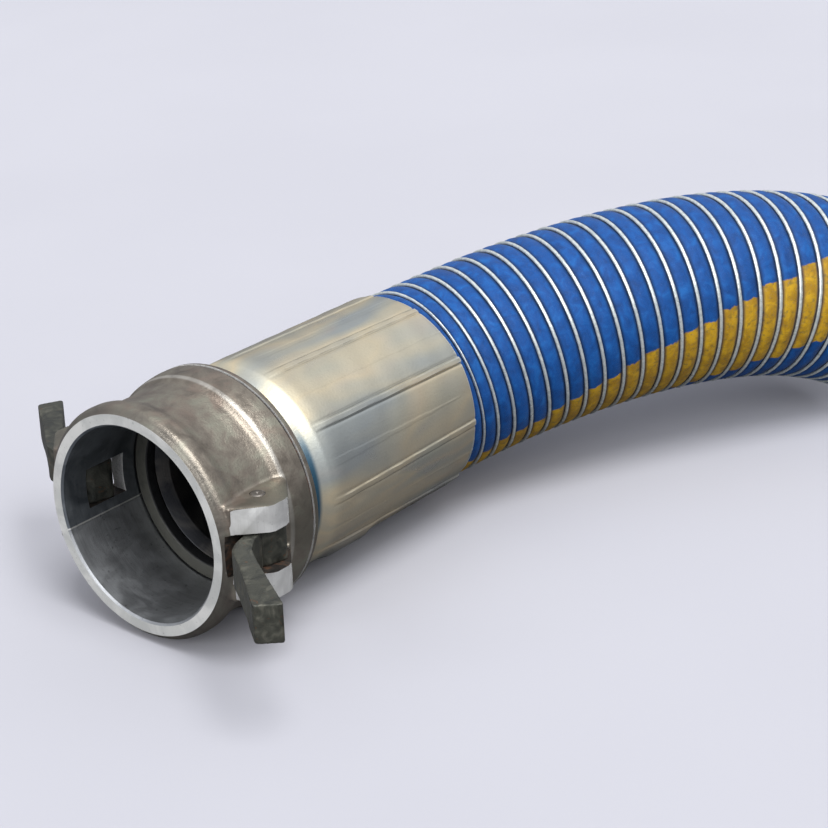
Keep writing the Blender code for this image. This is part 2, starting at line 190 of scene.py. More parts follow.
# Studio: each lamp is (name, direction towards it, strength, spread in degrees)
STUDIO_LAMPS = (
    ("top_lamp", (-0.10, -0.35, 1.0), 2.1, 34.0),
    ("front_lamp", (-1.0, 0.05, 0.36), 1.5, 34.0),
    ("side_lamp", (-0.35, -1.0, 0.85), 0.8, 30.0),
)
SKY_LOW = (0.34, 0.35, 0.38)
SKY_HIGH = (0.92, 0.94, 1.0)
SKY_STRENGTH = 0.72
BACKDROP = (1.03, 1.04, 1.14)
FLOOR_HALF_SIZE = 9.0
FLOOR_LOW = (0.470, 0.470, 0.513)
FLOOR_HIGH = (0.482, 0.482, 0.525)
FLOOR_BOUNCE = (0.11, 0.11, 0.12)


# ---------------------------------------------------------------- materials

class Finish:
    """A Principled material and short calls that wire its nodes."""

    def __init__(self, name, metallic=0.0):
        self.material = bpy.data.materials.new(name)
        self.material.use_nodes = True
        self.nodes = self.material.node_tree.nodes
        self.links = self.material.node_tree.links
        self.shader = self.nodes["Principled BSDF"]
        self.shader.inputs["Metallic"].default_value = metallic
        self.place = self.nodes.new("ShaderNodeTexCoord").outputs["Object"]

    def feed(self, socket, value):
        """Link a socket, or set it when the value is a plain one."""
        if isinstance(value, bpy.types.NodeSocket):
            self.links.new(value, socket)
        elif isinstance(value, tuple) and len(value) == 3 and socket.type == "RGBA":
            socket.default_value = (*value, 1.0)
        else:
            socket.default_value = value

    def sum(self, operation, a, b=0.0, c=0.0):
        """One step of arithmetic."""
        node = self.nodes.new("ShaderNodeMath")
        node.operation = operation
        for socket, value in zip(node.inputs, (a, b, c)):
            self.feed(socket, value)
        return node.outputs[0]

    def stretched(self, vector, stretch):
        """Coordinates scaled by a different number on each axis."""
        node = self.nodes.new("ShaderNodeMapping")
        node.inputs["Scale"].default_value = stretch
        self.feed(node.inputs["Vector"], vector)
        return node.outputs["Vector"]

    def noise(self, size, detail=3.0, stretch=(1.0, 1.0, 1.0), roughness=0.55, warp=0.0):
        """Noise whose patches are about so many metres wide."""
        node = self.nodes.new("ShaderNodeTexNoise")
        node.inputs["Scale"].default_value = 1.0 / size
        node.inputs["Detail"].default_value = detail
        node.inputs["Roughness"].default_value = roughness
        node.inputs["Distortion"].default_value = warp
        self.feed(node.inputs["Vector"], self.stretched(self.place, stretch))
        return node.outputs["Fac"]

    def between(self, value, low, high, out_low=0.0, out_high=1.0):
        """A smooth step of a value from low to high."""
        node = self.nodes.new("ShaderNodeMapRange")
        node.interpolation_type = "SMOOTHSTEP"
        for socket, number in zip(node.inputs[:5], (value, low, high, out_low, out_high)):
            self.feed(socket, number)
        return node.outputs["Result"]

    def mix(self, share, a, b):
        """A blend of two colours."""
        node = self.nodes.new("ShaderNodeMix")
        node.data_type = "RGBA"
        self.feed(node.inputs[0], share)
        self.feed(node.inputs[6], a)
        self.feed(node.inputs[7], b)
        return node.outputs[2]

    def ramp(self, value, *stops):
        """A colour ramp through (position, colour) stops."""
        node = self.nodes.new("ShaderNodeValToRGB")
        elements = node.color_ramp.elements
        while len(elements) < len(stops):
            elements.new(0.5)
        for element, (position, colour) in zip(elements, stops):
            element.position = position
            element.color = (*colour, 1.0)
        self.feed(node.inputs[0], value)
        return node.outputs["Color"]

    def axis(self, name):
        """One coordinate, measured from the mouth's centre."""
        split = self.nodes.new("ShaderNodeSeparateXYZ")
        self.feed(split.inputs[0], self.place)
        origin = MOUTH["XYZ".index(name)]
        return self.sum("SUBTRACT", split.outputs[name], origin)

    def facing(self, direction):
        """How far the surface faces a direction: 1 is square on."""
        geometry = self.nodes.new("ShaderNodeNewGeometry")
        dot = self.nodes.new("ShaderNodeVectorMath")
        dot.operation = "DOT_PRODUCT"
        self.feed(dot.inputs[0], geometry.outputs["Normal"])
        dot.inputs[1].default_value = direction
        return dot.outputs["Value"]

    def edges(self, low=0.52, high=0.6):
        """Near 1 on the proud edges of a dense mesh, 0 on flat parts."""
        geometry = self.nodes.new("ShaderNodeNewGeometry")
        return self.between(geometry.outputs["Pointiness"], low, high)

    def bump(self, *heights):
        """Bumps from (height, metres) pairs, one on top of the other."""
        normal = None
        for height, distance in heights:
            node = self.nodes.new("ShaderNodeBump")
            node.inputs["Strength"].default_value = 1.0
            node.inputs["Distance"].default_value = distance
            self.feed(node.inputs["Height"], height)
            if normal:
                self.feed(node.inputs["Normal"], normal)
            normal = node.outputs["Normal"]
        self.feed(self.shader.inputs["Normal"], normal)

    def finish(self, colour, roughness, **others):
        """Connect the colour, the roughness and any other inputs."""
        self.feed(self.shader.inputs["Base Color"], colour)
        self.feed(self.shader.inputs["Roughness"], roughness)
        for name, value in others.items():
            self.feed(self.shader.inputs[name.replace("_", " ")], value)
        return self.material


def cast_steel():
    """Warm brown-grey casting with soft mottling, and a painted highlight along the shoulder and on
    proud edges.
    """
    m = Finish("cast_steel", metallic=0.85)
    mottle = m.noise(14 * MM, 4.0, warp=0.6)
    fine = m.noise(1.3 * MM, 3.0)
    stain = m.noise(30 * MM, 3.0, warp=1.0)
    colour = m.ramp(
        mottle, (0.30, (0.19, 0.165, 0.135)), (0.5, (0.29, 0.255, 0.210)),
        (0.72, (0.33, 0.325, 0.26)),
    )
    colour = m.mix(m.between(stain, 0.52, 0.68, 0.0, 0.45), colour, (0.32, 0.24, 0.195))
    colour = m.mix(m.between(fine, 0.55, 0.75, 0.0, 0.35), colour, (0.13, 0.11, 0.10))
    along = m.axis("X")
    # painted highlight: a bright band along the shoulder, broken up by the mottling, and on proud
    # edges
    reach = m.sum("ABSOLUTE", m.sum("SUBTRACT", along, SHOULDER_AT))
    painted_highlight = m.between(reach, 0.6 * MM, 2.0 * MM, 1.0, 0.0)
    painted_highlight = m.sum("MULTIPLY", painted_highlight, m.between(mottle, 0.3, 0.5, 0.55, 1.0))
    painted_highlight = m.sum("MAXIMUM", painted_highlight, m.sum("MULTIPLY", m.edges(0.53, 0.60), 0.75))
    colour = m.mix(m.sum("MULTIPLY", painted_highlight, 0.75), colour, (0.62, 0.59, 0.53))
    # painted shade: the band 69.5 to 73.5 mm out along Y, on the ears and the body beside them, is
    # painted darker
    ear_band_shade = m.between(m.sum("ABSOLUTE", m.axis("Y")), 69.5 * MM, 73.5 * MM, 0.0, 0.6)
    colour = m.mix(ear_band_shade, colour, (0.15, 0.145, 0.115))
    lip = m.between(along, 1.0 * MM, 7.0 * MM, 0.55, 0.0)
    colour = m.mix(lip, colour, (0.16, 0.155, 0.14))
    grain = m.noise(0.5 * MM, 2.0)
    m.bump((mottle, 0.5 * MM), (fine, 0.16 * MM), (grain, 0.05 * MM))
    return m.finish(colour, m.between(mottle, 0.3, 0.7, 0.32, 0.46))


def machined_steel(name, colour_low, colour_high, roughness, metallic=0.9):
    """Turned steel: fine rings along the axis, with streaks and smudges."""
    m = Finish(name, metallic=metallic)
    rings = m.noise(0.45 * MM, 2.0, stretch=(1.0, 0.02, 0.02))
    smudge = m.noise(22 * MM, 4.0, warp=0.8)
    speck = m.noise(2.0 * MM, 3.0)
    colour = m.mix(m.between(smudge, 0.35, 0.65), colour_low, colour_high)
    colour = m.mix(m.between(rings, 0.4, 0.7, 0.0, 0.3), colour, colour_low)
    dark = tuple(c * 0.45 for c in colour_low)
    colour = m.mix(m.between(speck, 0.62, 0.78, 0.0, 0.6), colour, dark)
    m.bump((rings, 0.06 * MM), (speck, 0.08 * MM))
    return m.finish(colour, m.between(smudge, 0.3, 0.7, roughness, roughness + 0.12))


def bore_steel():
    """The turned bore: cool grey, with a painted highlight line along it and the steel on one side of
    that line painted lighter, as if lit.
    """
    m = Finish("bore_steel", metallic=0.9)
    rings = m.noise(0.5 * MM, 2.0, stretch=(1.0, 0.02, 0.02))
    smudge = m.noise(20 * MM, 4.0, warp=0.9)
    speck = m.noise(2.5 * MM, 3.0)
    colour = m.mix(m.between(smudge, 0.3, 0.7), (0.16, 0.18, 0.205), (0.30, 0.325, 0.35))
    turn = m.sum("ARCTAN2", m.axis("Z"), m.axis("Y"))
    off_highlight_line = m.sum("SUBTRACT", turn, BORE_HIGHLIGHT_ANGLE)
    # painted light: the bore on one side of the highlight line is painted lighter, as if lit
    low_side = m.between(off_highlight_line, -0.03, 0.01, 1.0, 0.0)
    colour = m.mix(m.sum("MULTIPLY", low_side, 0.6), colour, (0.62, 0.63, 0.64))
    streak = m.noise(2.2 * MM, 3.0, stretch=(1.0, 0.08, 0.08))
    colour = m.mix(m.between(streak, 0.45, 0.7, 0.0, 0.15), colour, (0.09, 0.095, 0.105))
    # painted highlight: a thin bright line along the bore
    highlight_line = m.between(m.sum("ABSOLUTE", off_highlight_line), 0.004, 0.012, 1.0, 0.0)
    colour = m.mix(highlight_line, colour, (0.85, 0.85, 0.82))
    colour = m.mix(m.between(speck, 0.6, 0.8, 0.0, 0.5), colour, (0.05, 0.05, 0.055))
    m.bump((rings, 0.07 * MM), (speck, 0.08 * MM))
    return m.finish(colour, m.between(smudge, 0.3, 0.7, 0.38, 0.52))


def rust_and_painted_shade():
    """Faces inside the slots, painted near black as painted shade, with rust in patches; faces turned
    to the mouth are painted bright as a painted reflection.
    """
    m = Finish("slot_rust_and_painted_shade", metallic=0.35)
    patch = m.noise(8 * MM, 5.0, warp=1.2)
    fine = m.noise(1.2 * MM, 4.0)
    # painted shade: a near-black base, with rust in the lighter patches
    colour = m.ramp(
        patch, (0.40, (0.020, 0.018, 0.017)), (0.56, (0.050, 0.038, 0.030)),
        (0.70, (0.14, 0.062, 0.030)),
    )
    # painted reflection: faces turned to the mouth, such as the slots' rear walls, are painted bright
    painted_reflection_wall = m.between(m.facing((-1.0, 0.0, 0.0)), 0.8, 0.95, 0.0, 0.85)
    colour = m.mix(painted_reflection_wall, colour, (0.80, 0.80, 0.78))
    colour = m.mix(m.between(fine, 0.5, 0.75, 0.0, 0.5), colour, (0.09, 0.07, 0.055))
    m.bump((patch, 0.5 * MM), (fine, 0.15 * MM))
    return m.finish(colour, m.between(patch, 0.3, 0.7, 0.5, 0.8))


def arm_steel():
    """Dark olive-grey arms with mottles, specks of rust and lighter proud edges, partly wear and
    partly painted highlight.
    """
    m = Finish("arm_steel", metallic=0.6)
    patch = m.noise(9 * MM, 5.0, warp=0.8)
    fine = m.noise(1.4 * MM, 4.0)
    rust = m.noise(5 * MM, 5.0, warp=1.5)
    colour = m.ramp(
        patch, (0.34, (0.040, 0.042, 0.036)), (0.55, (0.085, 0.086, 0.070)),
        (0.74, (0.17, 0.165, 0.135)),
    )
    colour = m.mix(m.between(rust, 0.62, 0.72, 0.0, 0.8), colour, (0.15, 0.075, 0.04))
    # proud edges painted lighter: wear and a painted highlight
    colour = m.mix(m.edges(0.53, 0.62), colour, (0.42, 0.41, 0.37))
    m.bump((patch, 0.6 * MM), (fine, 0.18 * MM))
    return m.finish(colour, m.between(patch, 0.3, 0.7, 0.36, 0.58))


def plated_steel():
    """Satin zinc plate on the ferrule, with soft gold, green and blue bands, painted highlights on
    proud edges and crimp ridges with painted shade in the hollows, and painted shade on the lower
    near side of the front slope.
    """
    m = Finish("plated_steel", metallic=0.88)
    band = m.noise(48 * MM, 2.0, stretch=(0.35, 1.0, 1.0), warp=0.4)
    cloud = m.noise(32 * MM, 2.0, stretch=(0.55, 1.0, 1.0), warp=0.6)
    fine = m.noise(1.6 * MM, 4.0)
    colour = m.ramp(
        band, (0.34, (0.50, 0.53, 0.51)), (0.43, (0.64, 0.62, 0.51)),
        (0.50, (0.80, 0.70, 0.50)), (0.58, (0.66, 0.63, 0.50)), (0.68, (0.52, 0.56, 0.48)),
    )
    colour = m.mix(m.between(cloud, 0.50, 0.80, 0.0, 0.30), colour, (0.66, 0.50, 0.42))
    colour = m.mix(m.between(cloud, 0.50, 0.22, 0.0, 0.30), colour, (0.40, 0.45, 0.50))
    colour = m.mix(m.between(fine, 0.50, 0.80, 0.0, 0.12), colour, (0.26, 0.25, 0.20))
    # painted highlight on proud edges and crimp ridges, then painted shade in the hollows beside them
    colour = m.mix(m.edges(0.515, 0.56), colour, (0.85, 0.84, 0.78))
    colour = m.mix(m.edges(0.485, 0.45), colour, (0.10, 0.10, 0.085))
    # painted shade: the front slope is painted dark blue-teal on its lower near side
    slope = m.between(m.axis("X"), 87.0 * MM, 90.0 * MM, 1.0, 0.0)
    low = m.between(m.facing(FERRULE_SHADE_SIDE), 0.2, 0.8)
    colour = m.mix(m.sum("MULTIPLY", slope, low), colour, (0.05, 0.13, 0.20))
    scratch = m.noise(0.8 * MM, 2.0, stretch=(0.05, 1.0, 1.0))
    m.bump((cloud, 0.25 * MM), (fine, 0.10 * MM), (scratch, 0.04 * MM))
    satin = m.between(m.axis("X"), 96.0 * MM, 108.0 * MM, 0.24, 0.0)
    return m.finish(colour, m.sum("ADD", m.between(cloud, 0.3, 0.7, 0.27, 0.36), satin))


def gasket_rubber():
    """Black rubber whose front face is painted paler in patches: dust together with a painted
    highlight on the face turned to the mouth.
    """
    m = Finish("gasket_rubber")
    dust_and_light = m.noise(4 * MM, 5.0, warp=0.6)
    grain = m.noise(0.6 * MM, 3.0)
    # painted light: the face turned to the mouth is painted paler, in dusty patches
    front = m.between(m.facing((-1.0, 0.0, 0.0)), 0.75, 0.95)
    share = m.sum("MULTIPLY", front, m.between(dust_and_light, 0.25, 0.55, 0.55, 0.95))
    colour = m.mix(share, (0.010, 0.010, 0.011), (0.065, 0.065, 0.054))
    m.bump((dust_and_light, 0.15 * MM), (grain, 0.06 * MM))
    return m.finish(colour, m.between(dust_and_light, 0.3, 0.7, 0.5, 0.75))


def coated_weave():
    """Blue coated fabric with a yellow marking band laid around the hose, painted darker beside the
    wires as painted shade.
    """
    m = Finish("coated_weave")
    laid = m.nodes.new("ShaderNodeUVMap").outputs["UV"]
    split = m.nodes.new("ShaderNodeSeparateXYZ")
    m.feed(split.inputs[0], laid)
    turn = split.outputs["X"]
    station = split.outputs["Y"]
    band = m.sum("SUBTRACT", m.sum("DIVIDE", station, WIRE_PITCH), turn)
    band = m.sum("SUBTRACT", band, OUTER_WIRE_START / WIRE_PITCH)
    index = m.sum("FLOOR", band)
    within = m.sum("SUBTRACT", band, index)

    chance = m.nodes.new("ShaderNodeTexWhiteNoise")
    chance.noise_dimensions = "1D"
    m.feed(chance.inputs["W"], index)
    jitter = m.sum("MULTIPLY", m.sum("SUBTRACT", chance.outputs["Value"], 0.5), 0.010)
    free = m.sum("SUBTRACT", station, STRAIGHT_END)
    step = m.sum("MULTIPLY", m.sum("SUBTRACT", 0.5, within), 0.5 * WIRE_PITCH)
    free = m.sum("ADD", free, step)
    bend = m.sum("MULTIPLY", m.sum("POWER", m.sum("MAXIMUM", free, 0.0), 2.0), STRIPE_CURVE)
    upper = m.sum("ADD", m.sum("MULTIPLY", free, STRIPE_SLOPE), bend)
    upper = m.sum("ADD", m.sum("ADD", upper, STRIPE_UPPER), jitter)
    ragged = m.sum("MULTIPLY", m.sum("SUBTRACT", m.noise(5 * MM, 3.0), 0.5), 0.012)
    past = m.sum("SUBTRACT", m.sum("ADD", turn, ragged), upper)
    stripe = m.sum(
        "MULTIPLY", m.between(past, -0.0015, 0.0015),
        m.between(past, STRIPE_WIDTH - 0.0015, STRIPE_WIDTH + 0.0015, 1.0, 0.0),
    )

    weft = m.sum("SINE", m.sum("MULTIPLY", turn, 2.0 * math.pi * THREADS_AROUND))
    warp = m.sum("SINE", m.sum("MULTIPLY", station, 2.0 * math.pi / THREAD_PITCH))
    weave = m.sum("MULTIPLY", weft, warp)
    cloud = m.noise(8 * MM, 5.0, warp=0.6)
    fine = m.noise(1.1 * MM, 3.0)
    blue = m.ramp(
        cloud, (0.30, (0.002, 0.052, 0.22)), (0.52, (0.004, 0.080, 0.32)),
        (0.72, (0.009, 0.130, 0.44)),
    )
    gold = m.mix(m.between(cloud, 0.35, 0.65), (0.46, 0.25, 0.001), (0.70, 0.41, 0.002))
    streak = m.noise(2.6 * MM, 3.0, stretch=(0.5, 1.0, 1.0))
    gold = m.mix(m.between(streak, 0.52, 0.7, 0.0, 0.55), gold, (0.16, 0.13, 0.03))
    colour = m.mix(stripe, blue, gold)
    colour = m.mix(m.between(weave, -0.2, 0.9, 0.16, 0.0), colour, (0.0, 0.02, 0.10))
    colour = m.mix(m.between(fine, 0.56, 0.75, 0.0, 0.14), colour, (0.09, 0.23, 0.60))
    off_wire = m.sum("MINIMUM", within, m.sum("SUBTRACT", 1.0, within))
    # painted shade: the cover is painted darker beside each wire
    wire_shade = m.between(off_wire, 0.10, 0.27, 0.85, 0.0)
    colour = m.mix(wire_shade, colour, (0.003, 0.020, 0.07))
    m.bump((weave, 0.10 * MM), (fine, 0.16 * MM), (cloud, 0.3 * MM))
    return m.finish(
        colour, m.between(cloud, 0.3, 0.7, 0.34, 0.5),
        Specular_IOR_Level=0.22, Sheen_Weight=0.03, Coat_Weight=0.05, Coat_Roughness=0.3,
    )


def hose_cloth(name, pale, dark, thread, roughness):
    """A plain woven layer of the hose wall."""
    m = Finish(name)
    laid = m.nodes.new("ShaderNodeUVMap").outputs["UV"]
    split = m.nodes.new("ShaderNodeSeparateXYZ")
    m.feed(split.inputs[0], laid)
    threads = round(2.0 * math.pi * SPIGOT_RADIUS / thread)
    weft = m.sum("SINE", m.sum("MULTIPLY", split.outputs["X"], 2.0 * math.pi * threads))
    warp = m.sum("SINE", m.sum("MULTIPLY", split.outputs["Y"], 2.0 * math.pi / thread))
    weave = m.sum("MULTIPLY", weft, warp)
    cloud = m.noise(15 * MM, 4.0)
    frayed = m.noise(0.7 * MM, 4.0)
    colour = m.mix(m.between(weave, -0.6, 0.6), dark, pale)
    colour = m.mix(m.between(cloud, 0.4, 0.7, 0.0, 0.4), colour, dark)
    m.bump((weave, 0.12 * MM), (frayed, 0.15 * MM))
    return m.finish(colour, roughness, Sheen_Weight=0.2)


def galvanised_wire():
    """Bright zinc-coated wire with faint spangle and dull patches."""
    m = Finish("galvanised_wire", metallic=0.6)
    spangle = m.noise(2.2 * MM, 3.0)
    dull = m.noise(18 * MM, 3.0, warp=0.8)
    colour = m.mix(m.between(spangle, 0.35, 0.65), (0.60, 0.66, 0.65), (0.80, 0.84, 0.82))
    colour = m.mix(m.between(dull, 0.56, 0.70, 0.0, 0.5), colour, (0.46, 0.53, 0.56))
    m.bump((spangle, 0.06 * MM))
    return m.finish(colour, m.between(dull, 0.3, 0.7, 0.26, 0.4))


def pale_plastic():
    """Milky sleeve between the tail and the hose."""
    m = Finish("sleeve_plastic")
    cloud = m.noise(12 * MM, 4.0)
    scuff = m.noise(1.5 * MM, 3.0, stretch=(0.2, 1.0, 1.0))
    colour = m.mix(m.between(cloud, 0.35, 0.65), (0.62, 0.62, 0.57), (0.74, 0.74, 0.70))
    m.bump((scuff, 0.05 * MM))
    return m.finish(colour, m.between(scuff, 0.4, 0.7, 0.35, 0.55))


# ---------------------------------------------------------------- mesh tools

def add_object(name, mesh, smooth=True):
    """Link a mesh to the scene as a new object at the frame's origin."""
    item = bpy.data.objects.new(name, mesh)
    bpy.context.scene.collection.objects.link(item)
    if smooth:
        mesh.shade_smooth()
        mesh.set_sharp_from_angle(angle=SHARP_ANGLE)
    return item


def grid_mesh(name, grid, closed=True, uv=None):
    """A mesh from rings of points; open grids get a cap at each end."""
    rings, around = grid.shape[:2]
    rows = rings if closed else rings - 1
    i, j = np.meshgrid(np.arange(rows), np.arange(around), indexing="ij")
    i2 = (i + 1) % rings
    j2 = (j + 1) % around
    quads = (i * around + j, i * around + j2, i2 * around + j2, i2 * around + j)
    faces = np.stack(quads, axis=-1).reshape(-1, 4).tolist()
    if not closed:
        faces.append(list(range(around)))
        faces.append(list(range((rings - 1) * around, rings * around)))
    mesh = bpy.data.meshes.new(name)
    mesh.from_pydata(grid.reshape(-1, 3).tolist(), [], faces)
    if uv is not None:
        corners = np.stack((uv[i, j], uv[i, j + 1], uv[i2, j + 1], uv[i2, j]), axis=2)
        layer = mesh.uv_layers.new(name="laid_out")
        layer.data.foreach_set("uv", corners.astype(np.float32).ravel())
    bm = bmesh.new()
    bm.from_mesh(mesh)
    bmesh.ops.recalc_face_normals(bm, faces=bm.faces)
    bm.to_mesh(mesh)
    bm.free()
    return mesh


def rounded(points, radius, steps=4, closed=True):
    """The outline with each corner replaced by a small curve."""
    result = []
    count = len(points)
    for k, corner in enumerate(points):
        if not closed and k in (0, count - 1):
            result.append(corner)
            continue
        corner = Vector(corner)
        before = Vector(points[k - 1])
        after = Vector(points[(k + 1) % count])
        reach = min(radius, 0.45 * (before - corner).length, 0.45 * (after - corner).length)
        start = corner + (before - corner).normalized() * reach
        end = corner + (after - corner).normalized() * reach
        for step in range(steps + 1):
            t = step / steps
            point = start * (1 - t) ** 2 + corner * 2 * t * (1 - t) + end * t ** 2
            result.append(tuple(point))
    return result


def turned_grid(outline, around):
    """Points of an (x, radius) outline spun about the coupling axis."""
    outline = np.array(outline)
    turn = np.linspace(0.0, 2.0 * math.pi, around, endpoint=False)
    x = np.repeat(outline[:, :1], around, axis=1)
    y = outline[:, 1:] * np.cos(turn)
    z = outline[:, 1:] * np.sin(turn)
    return np.stack((x, y, z), axis=-1) + np.array(MOUTH)


def turned(name, outline, around, closed=True):
    return grid_mesh(name, turned_grid(outline, around), closed)


def plate(name, outline, low, high):
    """Extrude an (x, y) outline, measured from the mouth, along Z."""
    bm = bmesh.new()
    face = bm.faces.new([bm.verts.new((x, y, low)) for x, y in outline])
    grown = bmesh.ops.extrude_face_region(bm, geom=[face])
    raised = [v for v in grown["geom"] if isinstance(v, bmesh.types.BMVert)]
    bmesh.ops.translate(bm, verts=raised, vec=(0.0, 0.0, high - low))
    bmesh.ops.translate(bm, verts=bm.verts, vec=MOUTH)
    bmesh.ops.recalc_face_normals(bm, faces=bm.faces)
    mesh = bpy.data.meshes.new(name)
    bm.to_mesh(mesh)
    bm.free()
    return mesh


def joined(name, meshes):
    """One mesh that holds several closed ones."""
    bm = bmesh.new()
    for mesh in meshes:
        bm.from_mesh(mesh)
        bpy.data.meshes.remove(mesh)
    mesh = bpy.data.meshes.new(name)
    bm.to_mesh(mesh)
    bm.free()
    return mesh


def bake(item):
    """Apply all modifiers of an object to its mesh."""
    graph = bpy.context.evaluated_depsgraph_get()
    mesh = bpy.data.meshes.new_from_object(item.evaluated_get(graph), depsgraph=graph)
    item.modifiers.clear()
    item.data = mesh


def melt_together(item, voxel, rounds):
    """Fuse a piece's solids into one skin and soften it like a casting."""
    remesh = item.modifiers.new("skin", "REMESH")
    remesh.mode = "VOXEL"
    remesh.voxel_size = voxel
    soften = item.modifiers.new("soften", "SMOOTH")
    soften.factor = 0.5
    soften.iterations = rounds
    bake(item)


def cut(item, cutters):
    """Cut (mesh, material) tools away; each face cut takes its tool's material."""
    tools = []
    for mesh, material in cutters:
        mesh.materials.append(material)
        tool = add_object(mesh.name, mesh, smooth=False)
        modifier = item.modifiers.new(mesh.name, "BOOLEAN")
        modifier.operation = "DIFFERENCE"
        modifier.solver = "EXACT"
        modifier.material_mode = "TRANSFER"
        modifier.object = tool
        tools.append(tool)
    bake(item)
    for tool in tools:
        bpy.data.objects.remove(tool, do_unlink=True)
    item.data.shade_smooth()
    item.data.set_sharp_from_angle(angle=SHARP_ANGLE)


def ride(item, body, slot, *nodes):
    """Put a finished piece on its body in place of CAD nodes."""
    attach(item, body)
    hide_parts(*nodes)


# ---------------------------------------------------------------- coupler

def ear_outline(grow):
    """Side view of an ear; grow leaves metal for the machined faces."""
    top = EAR_HEIGHT + grow
    return [
        (5.0 * MM, EAR_ROOT), (5.0 * MM, 70.2 * MM), (21.0 * MM, top - 1.4 * MM),
        (24.0 * MM, top), (33.0 * MM, top), (36.0 * MM, top - 1.2 * MM),
        (54.0 * MM, 69.0 * MM), (54.0 * MM, EAR_ROOT),
    ]


def make_coupler_body(materials):
    """The cast body, softened all over and then machined where it must fit."""
    spare = 2.0 * MM
    blank = [
        (-spare, 1.0 * MM), (-spare, 67.3 * MM), (0.4 * MM, 67.5 * MM), (1.8 * MM, 70.1 * MM),
        (5.0 * MM, RIM_RADIUS), (12.0 * MM, RIM_RADIUS), (18.0 * MM, 69.6 * MM),
        (26.0 * MM, 68.6 * MM), (40.0 * MM, 68.6 * MM), (49.0 * MM, 69.8 * MM),
        (52.8 * MM, 72.4 * MM), (58.0 * MM, 73.3 * MM), (64.0 * MM, FLANGE_RADIUS),
        (73.6 * MM, FLANGE_RADIUS), (BODY_LENGTH, 72.6 * MM),
        (BODY_LENGTH + spare, 72.6 * MM), (BODY_LENGTH + spare, 1.0 * MM),
    ]
    parts = [turned("blank", rounded(blank, 1.2 * MM, 3, closed=False), 220, closed=False)]
    for side in (1.0, -1.0):
        outline = [(x, side * y) for x, y in ear_outline(0.8 * MM)]
        parts.append(plate("ear", outline, EAR_INNER - 1.0 * MM, EAR_OUTER))
        parts.append(plate("ear", outline, -EAR_OUTER, -EAR_INNER + 1.0 * MM))
    body = add_object("body_casting", joined("body_casting", parts))
    melt_together(body, BODY_VOXEL, 7)
    body.data.materials.clear()
    body.data.materials.append(materials["cast"])

    wide = 120.0 * MM
    front = slab("front_cut", -9.0 * MM, 0.0, wide)
    back = slab("back_cut", BODY_LENGTH, BODY_LENGTH + 9.0 * MM, wide)
    chamfer = 1.2 * MM
    bore = [
        (-5.0 * MM, 1.0 * MM), (-5.0 * MM, BORE_RADIUS + chamfer + 5.0 * MM),
        (chamfer, BORE_RADIUS), (CUP_DEPTH, BORE_RADIUS), (CUP_DEPTH, GROOVE_RADIUS),
        (GROOVE_FLOOR, GROOVE_RADIUS), (GROOVE_FLOOR, SPIGOT_RADIUS),
        (BODY_LENGTH + 12.0 * MM, SPIGOT_RADIUS), (BODY_LENGTH + 12.0 * MM, 1.0 * MM),
    ]
    ring = [
        (69.2 * MM, 72.7 * MM), (71.0 * MM, 72.7 * MM), (71.5 * MM, 78.0 * MM),
        (68.7 * MM, 78.0 * MM),
    ]
    cutters = [
        (front, materials["face"]), (back, materials["cast"]),
        (turned("bore_cut", bore, 256, closed=False), materials["bore"]),
        (turned("ring_cut", ring, 200), materials["slot"]),
    ]
    for side in (1.0, -1.0):
        cutters += ear_cutters(side, materials)
    cut(body, cutters)
    return body


def slab(name, start, end, wide):
    """A block across the coupling axis, from start to end."""
    return plate(name, ((start, -wide), (end, -wide), (end, wide), (start, wide)), -wide, wide)


def circle(x, y, radius):
    """Outline of a round hole."""
    turns = np.linspace(0.0, 2.0 * math.pi, 48, endpoint=False)
    return [(x + radius * math.cos(t), y + radius * math.sin(t)) for t in turns]


def ear_cutters(side, materials):
    """Tools that machine one pair of ears: tops, slot, flat and pin hole."""
    far = 100.0 * MM
    tops = [(x, side * y) for x, y in ear_outline(0.0)[1:6]]
    tops += [(36.0 * MM, side * far), (5.0 * MM, side * far)]
    slot = (
        (SLOT_START, side * 50 * MM), (SLOT_END, side * 50 * MM),
        (SLOT_END, side * far), (SLOT_START, side * far),
    )
    flat = (
        (-5 * MM, side * CLEARANCE_FLAT), (SLOT_START + MM, side * CLEARANCE_FLAT),
        (SLOT_START + MM, side * far), (-5 * MM, side * far),
    )
    pin_x, pin_y = pivot_place(side)
    hole = circle(pin_x, pin_y, PIN_RADIUS + 0.15 * MM)
    return [
        (plate("tops_cut", tops, -40 * MM, 40 * MM), materials["ear"]),
        (plate("slot_cut", slot, -SLOT_HALF_WIDTH, SLOT_HALF_WIDTH), materials["slot"]),
        (plate("flat_cut", flat, -SLOT_HALF_WIDTH, SLOT_HALF_WIDTH), materials["slot"]),
        (plate("hole_cut", hole, -45 * MM, 45 * MM), materials["slot"]),
    ]


def pivot_place(side):
    """Where a pin stands, measured from the mouth's centre."""
    low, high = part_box("pivot_pin_left" if side > 0 else "pivot_pin_right")
    return (low.x + high.x) / 2.0 - MOUTH.x, (low.y + high.y) / 2.0 - MOUTH.y


